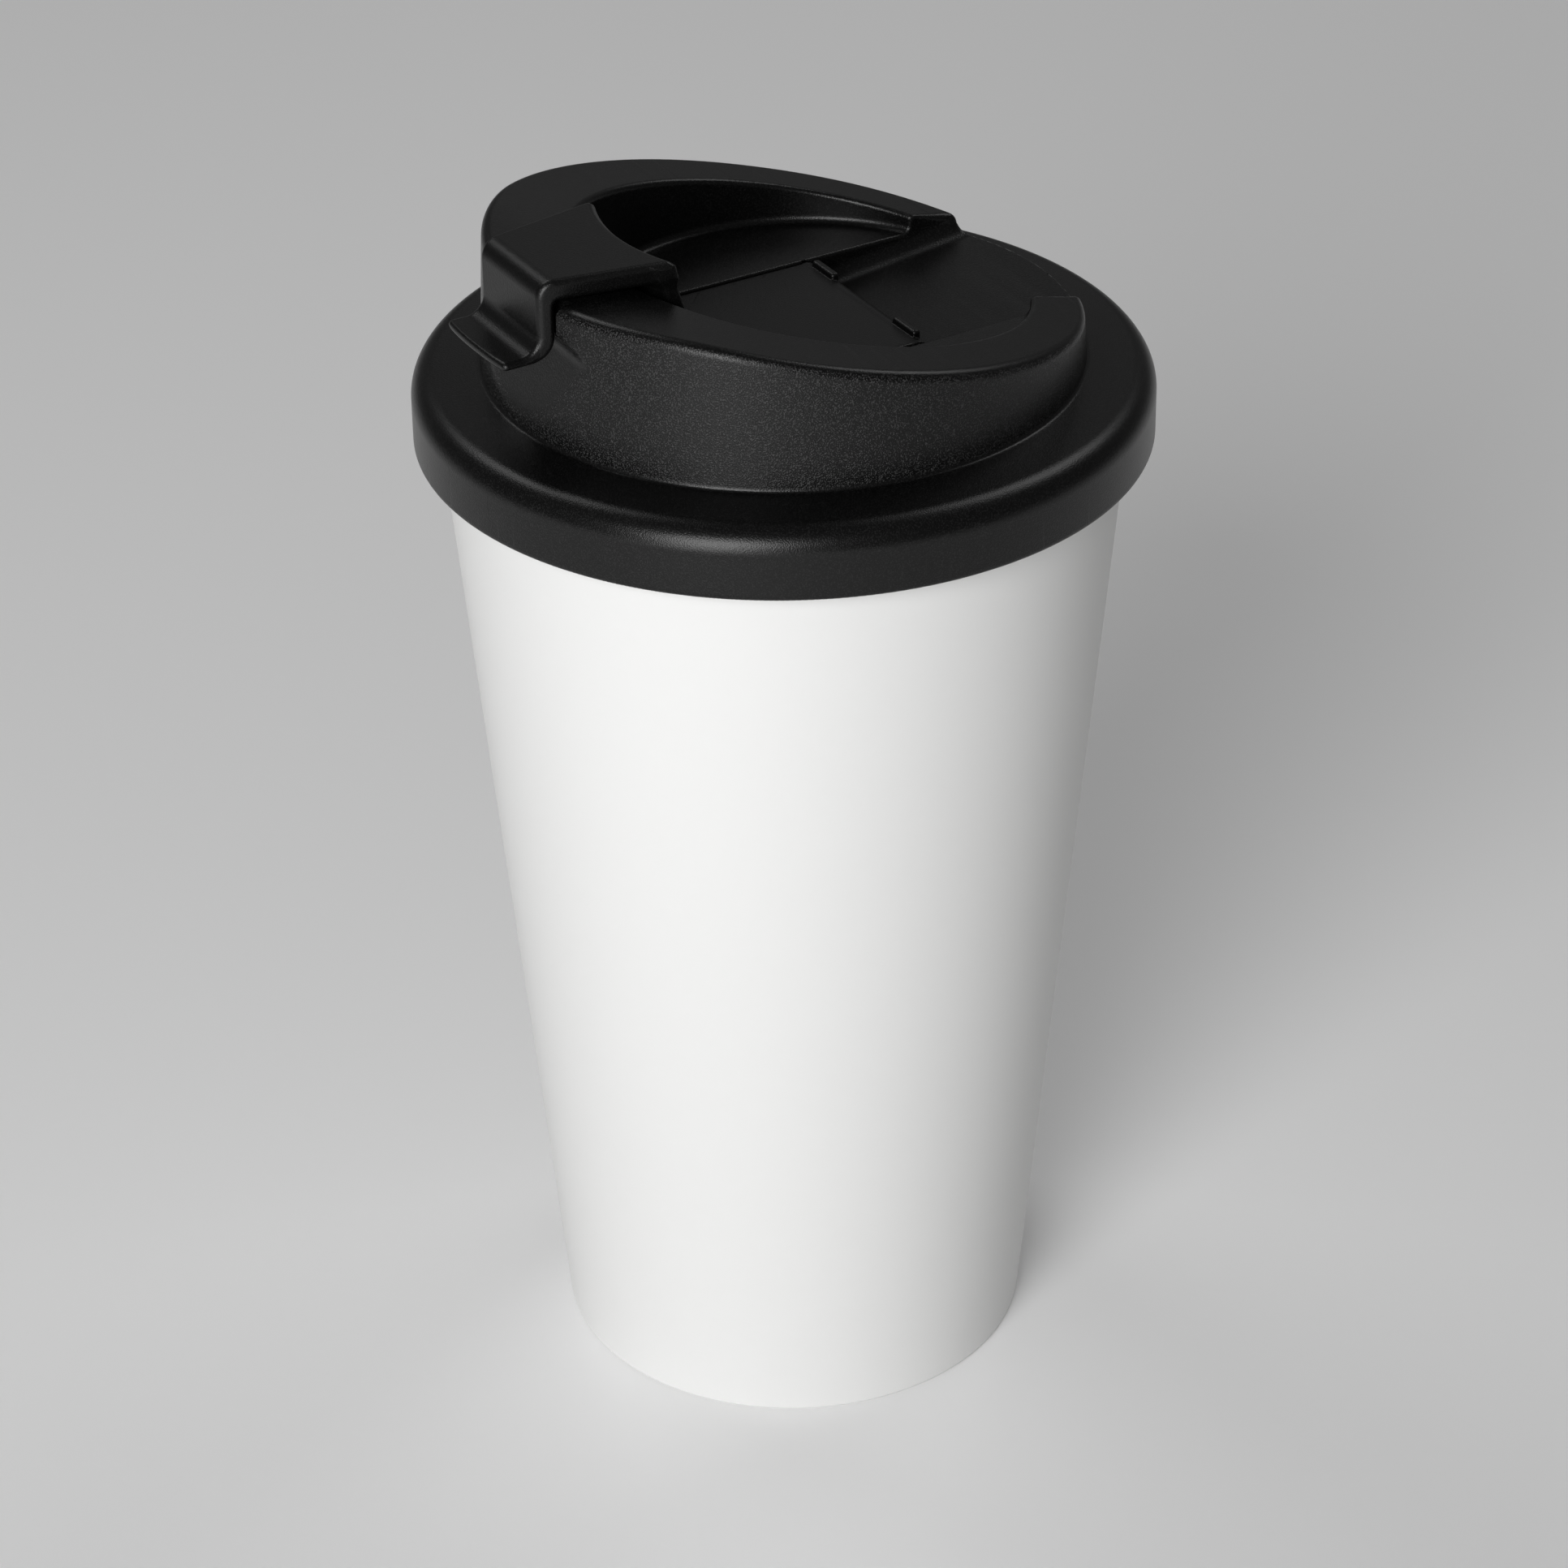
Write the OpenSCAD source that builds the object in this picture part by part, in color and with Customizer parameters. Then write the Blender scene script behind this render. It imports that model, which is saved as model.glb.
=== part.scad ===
// Reusable double-walled drinking cup in the form of a paper coffee cup.
// The lid twists on, and a flip clip closes its drinking hole.
// Millimetres, +Z up. The origin is the centre of the base, on the table.
// The clip and the drinking side face -Y, the open end of the rim faces +Y,
// and the clip's hinge lies along X.

/* [Cup] */
// Height of the mouth above the table
cup_h = 132; // [110:1:160]
// Outer radius at the base
base_r = 29.6; // [27:0.1:33]
// Lean of the wall from upright, in degrees
taper = 5.18; // [3.5:0.01:6]
// Wall of the outer shell
shell_wall = 1.9; // [1.4:0.1:2.4]
// Wall of the inner liner
liner_wall = 1.6; // [1.2:0.1:2]
// Air space between the shell and the liner
air_gap = 2.4; // [1.6:0.1:3]
// Thickness of the shell's base
base_t = 2; // [1.5:0.1:3]
// Depth of the hollow under the base
foot_h = 1.2; // [0.6:0.1:2]
// Width of the ring that the cup stands on
foot_w = 3; // [2:0.1:5]
// Rounding of the edge at the base
foot_round = 0.7; // [0.4:0.1:1]
// Rounding inside the shell's floor
shell_round = 3; // [1:0.5:4]
// Rounding inside the liner's floor
liner_round = 6; // [4:0.5:9]
// Height of the upright neck inside the lid
neck_h = 6.6; // [6:0.1:9]
// Thickness of the liner's flange over the neck
flange_t = 1.6; // [1.2:0.1:2.2]

/* [Lid] */
// Wall of the lid
lid_wall = 1.8; // [1.4:0.1:2]
// Space between the neck and the skirt, which the thread fills
thread_gap = 1.5; // [1.3:0.1:1.9]
// Height of the skirt below the sealing face
skirt_h = 7.1; // [6:0.1:8]
// Rounding between the skirt and the shoulder
skirt_round = 2.8; // [2:0.1:3.2]
// Rounding of the skirt's lower edge
hem_round = 0.5; // [0.3:0.1:0.8]
// Thickness of the shoulder at the foot of the rim
shoulder_t = 2.3; // [2:0.1:2.8]
// Fall of the shoulder towards the skirt, in degrees
shoulder_fall = 6.3; // [4:0.1:8]
// Thickness of the seal
gasket_t = 1.2; // [0.8:0.1:1.6]
// Width of the seal
gasket_w = 3.6; // [3:0.1:3.9]
// Depth of the ring inside the cup's mouth
plug_h = 3.6; // [2.5:0.1:5]

/* [Drinking rim] */
// Distance of the rim's foot in from the skirt
rim_inset = 8.4; // [8.2:0.1:8.6]
// Height of the rim above the shoulder, at the drinking side
rim_h = 17.6; // [16:0.1:19]
// Lean of the rim's outer wall, in degrees
rim_draft = 2.6; // [1:0.1:4]
// Fall of the rim's top towards the open end, in degrees
rim_slope = 12.4; // [11:0.1:13.5]
// Distance from the axis at which the top starts to fall
flat_end = 25.5; // [24:0.1:27]
// Radius of the blend between the level top and the slope
top_blend = 40; // [20:1:60]
// Rounding of the rim's outer edge
lip_round = 1.25; // [0.8:0.05:1.3]
// Rounding of the rim's inner edge
recess_round = 0.7; // [0.4:0.05:0.8]
// Fillet between the rim's foot and the shoulder
foot_fillet = 0.4; // [0.2:0.1:0.8]
// Depth of the finger scoop under the thumb tab
scoop_d = 2.8; // [1.5:0.1:3]
// Rounding of the finger scoop's top
scoop_round = 2.9; // [2:0.1:3.5]
// Drop from the rim's top to the deepest line of the scoop
scoop_drop = 5.9; // [5:0.1:7]
// Radius of the round recess inside the rim
recess_r = 26.9; // [26.5:0.1:27.2]
// Distance of the recess from the axis, towards the open end
recess_off = 2.7; // [2.3:0.1:3]
// Height of the recess's floor above the shoulder
deck_h = 4; // [3.6:0.1:4.6]
// Fillet round the recess's floor
deck_fillet = 1; // [0.5:0.1:1.5]

/* [Channel] */
// Gap at each side of the flap
side_gap = 0.45; // [0.3:0.05:0.6]
// Depth of the channel below the recess's floor
channel_h = 4.4; // [4.1:0.1:4.5]
// Fillet along the channel's floor, under the flap
well_fillet = 1; // [0.6:0.1:1.4]
// Rise of the ramp to the open end, in degrees
ramp_rise = 6.3; // [5.5:0.1:7]
// Step from the channel's floor up to the ramp
ramp_step = 0.2; // [0.1:0.05:0.4]
// Fillet along the ramp
channel_fillet = 2.2; // [1.5:0.1:2.3]
// Distance from the axis at which the ramp starts
ramp_start = 9; // [8:0.1:9.5]
// Length of the drinking hole
hole_l = 12; // [9:0.5:14]
// Width of the drinking hole
hole_w = 7; // [5:0.5:8]
// Distance of the drinking hole from the axis
hole_y = 13; // [11:0.1:14]

/* [Clip] */
// Width of the flap
flap_w = 25.9; // [24:0.1:27]
// Thickness of the flap
flap_t = 2; // [1.7:0.1:2.2]
// Distance of the hinge axis from the cup's axis
hinge_y = 10.9; // [10.5:0.1:11.5]
// Flap beyond the hinge axis
flap_end = 1.25; // [1:0.05:1.5]
// Radius of the hinge barrel
barrel_r = 1.3; // [1.2:0.05:1.4]
// Radius of the hinge pins
pin_r = 1; // [0.8:0.05:1.05]
// Clearance round the hinge pins
pin_clear = 0.06; // [0.04:0.01:0.09]
// Depth of a hinge pin in its socket
pin_l = 1.9; // [1.5:0.1:2.2]
// Width of the bridge at the inner wall
bridge_in_w = 19.4; // [18:0.1:20.5]
// Width of the bridge at the outer leg
bridge_out_w = 14.2; // [13:0.1:16]
// Thickness of the bridge over the rim
bridge_t = 2.6; // [2.2:0.1:3]
// Gap between the bridge and the rim's level top
bridge_gap = 0.4; // [0.3:0.1:0.6]
// Rounding of the bridge's outer edge
bridge_round = 2.2; // [1.5:0.1:2.5]
// Thickness of the inner wall
inner_wall_t = 1.7; // [1.4:0.1:1.9]
// Lean of the inner wall and its sides, in degrees
inner_lean = 11; // [9:0.5:12]
// Gap between the inner wall's top and the recess's wall
inner_gap = 0.5; // [0.3:0.1:0.8]
// Thickness of the outer leg
leg_t = 2.05; // [1.8:0.05:2.3]
// Outer face of the leg beyond the rim's wall
leg_proud = 0.9; // [0.7:0.1:1.2]
// Gap behind the leg
leg_gap = 0.3; // [0.3:0.05:0.5]
// Drop from the bridge's top to the thumb tab's top
tab_drop = 8.9; // [8:0.1:10]
// Distance of the thumb tab's tip beyond the leg
tab_l = 5.1; // [4:0.1:6]
// Thickness of the thumb tab
tab_t = 1.1; // [0.9:0.05:1.4]
// Rounding of the bend above the thumb tab
bend_round = 2.3; // [1.5:0.1:2.8]
// Rounding of the bend below the thumb tab
under_round = 3; // [2:0.1:3.4]
// Length of each stop rib
rib_l = 4.9; // [4:0.1:5.5]
// Height of each stop rib
rib_h = 0.8; // [0.5:0.05:0.85]

/* [Hidden] */
$fn = 96;
far = 60;

// Cup
neck_z = cup_h - neck_h;
neck_r = wall_r(neck_z);
shell_in = shell_wall / cos(taper);
liner_step = (shell_wall + air_gap + liner_wall) / cos(taper);
liner_floor = foot_h + base_t + air_gap + liner_wall;
mouth_r = neck_r + neck_h * tan(taper) - liner_step;

// Lid
seat_z = cup_h + gasket_t;
lid_r = neck_r + thread_gap + lid_wall;
hem_z = seat_z - skirt_h;
rim_r = lid_r - rim_inset;
shoulder_z = seat_z + shoulder_t;
round_r = lid_r - skirt_round + skirt_round * sin(shoulder_fall);
round_z = shoulder_z - (round_r - rim_r) * tan(shoulder_fall);
plug_clear = 0.5;
plug_r = mouth_r - plug_clear;
gasket_in = 0.5;
gasket_r = mouth_r + gasket_in;
corner_in = 1;

// Rim
rim_z = shoulder_z + rim_h;
rim_top_r = rim_r - rim_h * tan(rim_draft);
deck_z = shoulder_z + deck_h;
floor_z = deck_z - channel_h;
channel_w = flap_w + 2 * side_gap;

// Clip
flap_sink = 0.1;
flap_z = deck_z - flap_sink;
hinge_z = flap_z - barrel_r;
bridge_z = rim_z + bridge_gap + bridge_t;
leg_y = rim_top_r + leg_proud;
tab_z = bridge_z - tab_drop;
tab_tip = leg_y + tab_l;
inner_top_r = recess_r - inner_gap;
rib_w = 1.1;
rib_x = 6.8;
rib_off = 0.5;
flap_round = 0.5;
pin_wall = 1.2;
socket_end = 0.3;
seal_clear = 0.3;
seal_flange = 1.5;
seal_lift = 0.1;
nose_h = 1;
boss_h = 0.9;
boss_in = 1;
scoop_z = rim_z - scoop_drop;
scoop_foot = 0.5;

// Flat ring, from z to z + h
module band(r_in, r_out, z, h) {
    translate([0, 0, z]) difference() {
        cylinder(r = r_out, h = h);
        translate([0, 0, -1]) cylinder(r = r_in, h = h + 2);
    }
}

// Slot shape, length l along X and width w along Y
module slot(l, w) {
    square([l - w, w], center = true);
    for (side = [-1, 1])
        translate([side * (l - w) / 2, 0]) circle(d = w);
}

// Sweeps a profile drawn in Y and Z across the width w, along X
module across(w) {
    translate([-w / 2, 0, 0]) rotate([90, 0, 90]) linear_extrude(w) children();
}

// Corner at [x, y] cut to the radius r; [sx, sy] points from the arc's centre to the corner
module corner_cut(x, y, r, sx, sy) {
    translate([x, y]) difference() {
        translate([sx > 0 ? -r : 0, sy > 0 ? -r : 0]) square(r);
        translate([-sx * r, -sy * r]) circle(r = r);
    }
}

// Radius of the cup's outer wall at the height z
function wall_r(z) = base_r + z * tan(taper);

// Points of the arc of radius r that rounds the corner at [x, z] of a floor and the leaning wall
function floor_arc(x, z, r) =
    let(steps = 12, reach = r * tan(45 - taper / 2))
    [for (i = [0:steps]) let(turn = -90 + i / steps * (90 - taper))
        [x - reach + r * cos(turn), z + r + r * sin(turn)]];

// The same points in the other order
function reversed(points) = [for (i = [len(points) - 1:-1:0]) points[i]];

// Outer shell: tapered wall, hollow foot and upright neck in one moulding
module outer_shell() {
    floor_in = foot_h + base_t;
    top = cup_h - flange_t;
    inside = neck_r - shell_in;
    color("white") rotate_extrude() polygon([
        [0, foot_h], [base_r - foot_w, foot_h], [base_r - foot_w, 0],
        each floor_arc(base_r, 0, foot_round),
        [neck_r, neck_z], [neck_r, top], [inside, top], [inside, neck_z],
        each reversed(floor_arc(wall_r(floor_in) - shell_in, floor_in, shell_round)),
        [0, floor_in]]);
}

// Inner liner: tapered cup with a rounded floor and a flange over the shell's neck
module inner_liner() {
    under_z = liner_floor - liner_wall;
    under_step = liner_step - liner_wall / cos(taper);
    flange_z = cup_h - flange_t;
    color("whitesmoke") rotate_extrude() polygon([
        [0, under_z],
        each floor_arc(wall_r(under_z) - under_step, under_z, liner_round + liner_wall),
        [wall_r(flange_z) - under_step, flange_z], [neck_r, flange_z], [neck_r, cup_h],
        [mouth_r, cup_h],
        each reversed(floor_arc(wall_r(liner_floor) - liner_step, liner_floor, liner_round)),
        [0, liner_floor]]);
}

// Everything below the rim's top surface, which is level and then falls to the open end
module under_top(drop) {
    run = top_blend * tan(rim_slope / 2);
    end = far + flat_end;
    across(2 * far) translate([-flat_end, rim_z - drop]) union() {
        polygon([[-far, -far], [-far, 0], [-run, 0],
            [run * cos(rim_slope), -run * sin(rim_slope)],
            [end, -end * tan(rim_slope)], [end, -far]]);
        intersection() {
            translate([-run, -top_blend]) circle(r = top_blend, $fn = 360);
            translate([-run, -top_blend / 2]) square([2 * run, top_blend / 2]);
        }
    }
}

// Height of the rim's top surface at the distance y from the axis
function rim_top(y) =
    let(run = top_blend * tan(rim_slope / 2), u = y + flat_end)
    u < -run ? rim_z
    : u > run * cos(rim_slope) ? rim_z - u * tan(rim_slope)
    : rim_z - top_blend + sqrt(top_blend ^ 2 - (u + run) ^ 2);

// Lean of the rim's top surface towards +Y at the distance y from the axis, in degrees
function rim_lean(y) =
    let(run = top_blend * tan(rim_slope / 2), u = y + flat_end)
    u < -run ? 0 : u > run * cos(rim_slope) ? rim_slope : asin((u + run) / top_blend);

// Corner between the rim's top and a wall of radius r at the rim's top and of that draft,
// which stands round the point [0, off], in the direction a from that point
function rim_corner(a, r, draft, off, z, tries = 3) =
    let(wide = r + (rim_z - z) * tan(draft), next = rim_top(off + wide * sin(a)))
    tries == 0 ? [wide, z] : rim_corner(a, r, draft, off, next, tries - 1);

// Section of the space outside a rounded edge at the angle a. The side is 1 on the rim's outer
// wall and -1 on the wall of the recess. The arc starts and ends a little inside the surfaces,
// so that its ends, drawn straight on, cross them.
function edge_section(a, r, draft, off, round, side) =
    let(c = rim_corner(a, r, draft, off, rim_z),
        fall = side * atan(tan(rim_lean(off + c[0] * sin(a))) * sin(a)),
        over = 10, steps = 5, long = 0.6 * round,
        wall = [cos(draft), sin(draft)],
        top = [sin(fall), cos(fall)],
        centre = [0, 0] - round * (wall + top) / (1 + wall * top),
        first = draft + over,
        last = 90 - fall - over,
        arc = [for (i = [0:steps]) let(t = first + (last - first) * i / steps)
            centre + round * [cos(t), sin(t)]],
        low = arc[0] + long * [sin(first), -cos(first)],
        high = arc[steps] + long * [-sin(last), cos(last)])
    [for (p = [low, each arc, high, round * (wall + top)]) [c[0] + side * p[0], c[1] + p[1]]];

// Closed ring of the sections round the point [0, off], to be cut from the rim's edge
module edge_cut(r, draft, off, round, side) {
    turns = 96;
    rings = [for (i = [0:turns - 1]) edge_section(i / turns * 360, r, draft, off, round, side)];
    count = len(rings[0]);
    points = [for (i = [0:turns - 1], p = rings[i]) let(a = i / turns * 360)
        [p[0] * cos(a), off + p[0] * sin(a), p[1]]];
    quads = [for (i = [0:turns - 1], k = [0:count - 1]) let(n = (i + 1) % turns, m = (k + 1) % count)
        [i * count + k, n * count + k, n * count + m, i * count + m]];
    polyhedron(points, [for (q = quads, t = [[0, 1, 2], [0, 2, 3]])
        side > 0 ? [for (j = t) q[j]] : [for (j = reversed(t)) q[j]]]);
}

// Round recess inside the rim, grown by the wall for the underside
module recess(grow) {
    r = recess_r + grow;
    fillet = deck_fillet + grow;
    translate([0, recess_off, deck_z - grow]) rotate_extrude() difference() {
        square([r, far]);
        corner_cut(r, 0, fillet, 1, -1);
    }
}

// Trough with rounded floor edges, along +Y from y = 0, its floor at z = 0
module trough(w, r, length) {
    rotate([90, 0, 180]) linear_extrude(length) difference() {
        translate([-w / 2, 0]) square([w, far]);
        corner_cut(w / 2, 0, r, 1, -1);
        corner_cut(-w / 2, 0, r, -1, -1);
    }
}

// Channel that the flap lies in, and the ramp that it folds back over
module channel(grow) {
    w = channel_w + 2 * grow;
    intersection() {
        translate([0, ramp_start - far, floor_z - grow]) trough(w, well_fillet + grow, far);
        translate([0, recess_off, 0]) cylinder(r = recess_r + grow, h = 4 * far);
    }
    difference() {
        translate([0, ramp_start, floor_z + ramp_step]) rotate([ramp_rise, 0, 0])
            translate([0, -deck_h, -grow]) trough(w, channel_fillet + grow, far);
        translate([-far, ramp_start - far, 0]) cube([2 * far, far, 4 * far]);
    }
}

// Hollow in the rim's wall below the thumb tab, with the slot that the leg drops into
module scoop(grow) {
    centre = [-rim_r + scoop_d - scoop_round, scoop_z];
    lean = atan(scoop_d / (scoop_z - shoulder_z - 2 * scoop_foot));
    r = scoop_round + grow;
    foot = shoulder_z + scoop_foot - grow;
    across(2 * far) difference() {
        translate(centre) union() {
            circle(r = r);
            translate([-far, 0]) square([far, r]);
            rotate(-lean) translate([-far, -far]) square([far + r, far]);
        }
        translate([-2 * far, foot - 2 * far]) square([4 * far, 2 * far]);
    }
    leg_slot(grow);
}

// Slot that the clip's leg drops into, its back leaning along the leg's path round the hinge
module leg_slot(grow) {
    leg_in = leg_y - leg_t;
    path_r = norm([leg_in + hinge_y, tab_z - tab_t + under_round - hinge_z]) - leg_gap - grow;
    intersection() {
        translate([0, 0, scoop_z]) linear_extrude(far) bridge_plan(leg_gap + grow);
        union() {
            translate([-far, -far - (leg_in - leg_gap - grow), 0]) cube([2 * far, far, 4 * far]);
            difference() {
                translate([-far, -far - lid_r / 2, 0]) cube([2 * far, far, 4 * far]);
                translate([-far, hinge_y, hinge_z]) rotate([0, 90, 0])
                    cylinder(r = path_r, h = 2 * far, $fn = 720);
            }
        }
    }
}

// The lid's outside, before anything is taken out of it
module lid_form() {
    rotate_extrude() difference() {
        union() {
            polygon([[0, hem_z], [lid_r, hem_z], [lid_r, round_z - skirt_round * cos(shoulder_fall)],
                [round_r, round_z], [rim_r, shoulder_z], [0, shoulder_z]]);
            translate([lid_r - skirt_round, round_z - skirt_round * cos(shoulder_fall)])
                circle(r = skirt_round);
        }
        corner_cut(lid_r, hem_z, hem_round, 1, -1);
    }
    intersection() {
        rotate_extrude() polygon([[0, seat_z], [rim_r, seat_z], [rim_r, shoulder_z],
            [rim_top_r, rim_z], [rim_top_r, rim_z + 1], [0, rim_z + 1]]);
        under_top(0);
    }
    translate([0, 0, shoulder_z]) rotate_extrude() translate([rim_r, 0]) difference() {
        translate([-0.2, -0.2]) square(foot_fillet + 0.2);
        translate([foot_fillet, foot_fillet]) circle(r = foot_fillet);
    }
}

// The hollow on the underside of the rim, one wall inside the outside form
module rim_hollow() {
    difference() {
        intersection() {
            translate([0, 0, seat_z]) cylinder(
                r1 = rim_r - lid_wall, r2 = rim_top_r - lid_wall, h = rim_z - seat_z);
            under_top(lid_wall);
        }
        recess(lid_wall);
        channel(lid_wall);
        scoop(lid_wall);
    }
}

// Thickening under the recess's floor that holds the hinge pins
module hinge_bosses() {
    boss_r = pin_r + pin_clear + pin_wall;
    boss_l = pin_l + pin_wall;
    for (side = [-1, 1]) intersection() {
        translate([side * (channel_w / 2 + side_gap), hinge_y, hinge_z]) rotate([0, side * 90, 0])
            cylinder(r = boss_r, h = boss_l);
        translate([-far, -far, 0]) cube([2 * far, 2 * far, deck_z - lid_wall / 2]);
    }
}

// Lid: skirt, shoulder, drinking rim, recess and channel in one moulding
module lid() {
    color([0.1, 0.1, 0.1]) difference() {
        union() {
            difference() {
                lid_form();
                recess(0);
                channel(0);
                scoop(0);
                rotate_extrude() difference() {
                    translate([0, hem_z - 1]) square([lid_r - lid_wall, skirt_h + 1]);
                    corner_cut(lid_r - lid_wall, seat_z, corner_in, 1, 1);
                }
                rim_hollow();
                edge_cut(rim_top_r, rim_draft, 0, lip_round, 1);
                edge_cut(recess_r, 0, recess_off, recess_round, -1);
            }
            band(plug_r - lid_wall, plug_r, seat_z - plug_h, plug_h + shoulder_t / 4);
            hinge_bosses();
        }
        socket = channel_w / 2 + pin_l + socket_end;
        translate([-socket, hinge_y, hinge_z]) rotate([0, 90, 0])
            cylinder(r = pin_r + pin_clear, h = 2 * socket);
        translate([0, -hole_y, seat_z - lid_wall]) linear_extrude(shoulder_t + 2 * lid_wall)
            slot(hole_l, hole_w);
    }
}

// Flat seal between the cup's mouth and the lid
module lid_seal() {
    color("gainsboro") band(gasket_r, gasket_r + gasket_w, cup_h, gasket_t);
}

// Side profile of the bridge, the outer leg and the thumb tab, drawn in -Y and Z
module leg_profile() {
    leg_in = leg_y - leg_t;
    tab_under = tab_z - tab_t;
    difference() {
        union() {
            translate([0, bridge_z - bridge_t]) square([leg_y, bridge_t]);
            translate([leg_in, tab_under]) square([leg_t, bridge_z - tab_under]);
            translate([leg_in, tab_under]) square([tab_tip - tab_t / 2 - leg_in, tab_t]);
            translate([tab_tip - tab_t / 2, tab_under + tab_t / 2]) circle(d = tab_t);
            translate([leg_y, tab_z]) difference() {
                square(bend_round);
                translate([bend_round, bend_round]) circle(r = bend_round);
            }
        }
        corner_cut(leg_y, bridge_z, bridge_round, 1, 1);
        corner_cut(leg_in, tab_under, under_round, -1, -1);
    }
}

// Outline of the bridge from above, drawn in X and Y, widened at each side
module bridge_plan(widen) {
    in_w = bridge_in_w / 2;
    out_w = bridge_out_w / 2 + widen;
    in_y = sqrt(inner_top_r ^ 2 - in_w ^ 2) - recess_off;
    deep = inner_wall_t + bridge_t;
    deep_w = in_w + widen + deep * (in_w + widen - out_w) / (leg_y - in_y);
    polygon([[-deep_w, deep - in_y], [-out_w, -leg_y], [-out_w, -far],
        [out_w, -far], [out_w, -leg_y], [deep_w, deep - in_y]]);
}

// Cone of the inner wall, its radius at the bridge's top less step
module wall_cone(step) {
    top = bridge_z + 1;
    low = flap_z - flap_t;
    r_top = inner_top_r + tan(inner_lean) - step;
    translate([0, recess_off, low]) cylinder(
        r1 = r_top - (top - low) * tan(inner_lean), r2 = r_top, h = top - low);
}

// Inner wall of the clip, which widens from the bridge down to the flap
module inner_wall() {
    low = flap_z - flap_t;
    high = bridge_z - bridge_t / 2;
    half = bridge_in_w / 2;
    flare = (high - low) * (flap_w / 2 - half) / (bridge_z - flap_z);
    intersection() {
        difference() {
            wall_cone(0);
            wall_cone(inner_wall_t);
        }
        rotate([90, 0, 0]) linear_extrude(far) polygon([
            [-half - flare, low], [half + flare, low], [half, high], [-half, high]]);
        translate([0, 0, low]) cube([flap_w, 2 * far, 2 * (high - low)], center = true);
    }
}

// Stop rib with a rounded top, along X and centred over the origin
module rib() {
    translate([-rib_l / 2, -rib_w / 2, -0.2]) cube([rib_l, rib_w, rib_h - rib_w / 2 + 0.2]);
    translate([-rib_l / 2, 0, rib_h - rib_w / 2]) rotate([0, 90, 0]) cylinder(d = rib_w, h = rib_l);
}

// Flip clip: flap, inner wall, bridge, outer leg, thumb tab and hinge pins in one moulding
module flip_clip() {
    half = flap_w / 2;
    flap_back = hinge_y + flap_end;
    color([0.12, 0.12, 0.12]) {
        intersection() {
            across(flap_w) difference() {
                translate([-far, flap_z - flap_t]) square([far + flap_back, flap_t]);
                corner_cut(flap_back, flap_z, flap_round, 1, 1);
                translate([hinge_y, -far + hinge_z]) square([2 * flap_end, far]);
            }
            wall_cone(0);
        }
        inner_wall();
        difference() {
            intersection() {
                mirror([0, 1, 0]) across(2 * far) leg_profile();
                linear_extrude(4 * far) bridge_plan(0);
                cylinder(r = tab_tip + pin_clear, h = 4 * far);
            }
            wall_cone(inner_wall_t);
        }
        translate([-half, hinge_y, hinge_z]) rotate([0, 90, 0]) cylinder(r = barrel_r, h = flap_w);
        translate([-channel_w / 2 - pin_l, hinge_y, hinge_z]) rotate([0, 90, 0])
            cylinder(r = pin_r, h = channel_w + 2 * pin_l);
        for (side = [-1, 1])
            translate([side * (rib_x + rib_l / 2), hinge_y + rib_off, flap_z]) rib();
        translate([0, -hole_y, flap_z - flap_t - boss_h]) linear_extrude(boss_h + flap_t / 4)
            slot(hole_l - 2 * boss_in, hole_w - 2 * boss_in);
    }
}

// Soft plug under the flap: a cap over the clip's boss, with a nose in the hole
module spout_seal() {
    top = flap_z - flap_t;
    low = floor_z + seal_lift;
    color("dimgray") translate([0, -hole_y, 0]) difference() {
        union() {
            translate([0, 0, low]) linear_extrude(top - low)
                slot(hole_l + 2 * seal_flange, hole_w + 2 * seal_flange);
            translate([0, 0, floor_z - nose_h]) linear_extrude(1.5 * nose_h)
                slot(hole_l - 2 * seal_clear, hole_w - 2 * seal_clear);
        }
        translate([0, 0, top - boss_h]) linear_extrude(2 * boss_h)
            slot(hole_l - 2 * boss_in, hole_w - 2 * boss_in);
    }
}

outer_shell();
inner_liner();
lid();
lid_seal();
flip_clip();
spout_seal();
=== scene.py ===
# %% [markdown]
# # A reusable coffee cup in the form of a paper cup
# The real cup is a double-walled tumbler of white polypropylene. A black lid twists on over
# its neck, and a black clip flips over the lid's drinking hole.
# The cup's sizes below are in millimetres, as on a drawing, and one factor turns them into
# Blender's metres. Heights are above the table, and the clip is on the cup's -Y side.

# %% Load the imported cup
import math

import bmesh
import bpy
import numpy as np
from mathutils import Matrix, Vector


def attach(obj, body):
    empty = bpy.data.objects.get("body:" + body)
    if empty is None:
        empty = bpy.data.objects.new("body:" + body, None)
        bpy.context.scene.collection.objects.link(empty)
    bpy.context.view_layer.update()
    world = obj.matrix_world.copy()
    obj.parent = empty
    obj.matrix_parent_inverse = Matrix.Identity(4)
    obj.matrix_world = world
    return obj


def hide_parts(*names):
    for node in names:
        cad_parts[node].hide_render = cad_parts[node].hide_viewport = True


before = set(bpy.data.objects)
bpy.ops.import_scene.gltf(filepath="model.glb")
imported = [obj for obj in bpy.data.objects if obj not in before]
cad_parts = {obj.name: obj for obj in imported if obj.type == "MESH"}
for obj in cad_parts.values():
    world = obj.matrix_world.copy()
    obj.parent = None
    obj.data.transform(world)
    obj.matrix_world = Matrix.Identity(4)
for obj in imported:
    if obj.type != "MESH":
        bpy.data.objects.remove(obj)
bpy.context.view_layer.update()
MM = 0.001

# %% [markdown]
# ## The camera
# The photograph looks down at the cup by about 31 degrees, from the side of the clip's hinge.
# The lens is long, so the cup's sides hardly converge. The camera stands level apart from a
# small roll, which makes the cup lean by under a degree. Its place could be set by hand in the
# viewport, but numbers are kept here, so that the view can be turned round the cup's axis.

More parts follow.
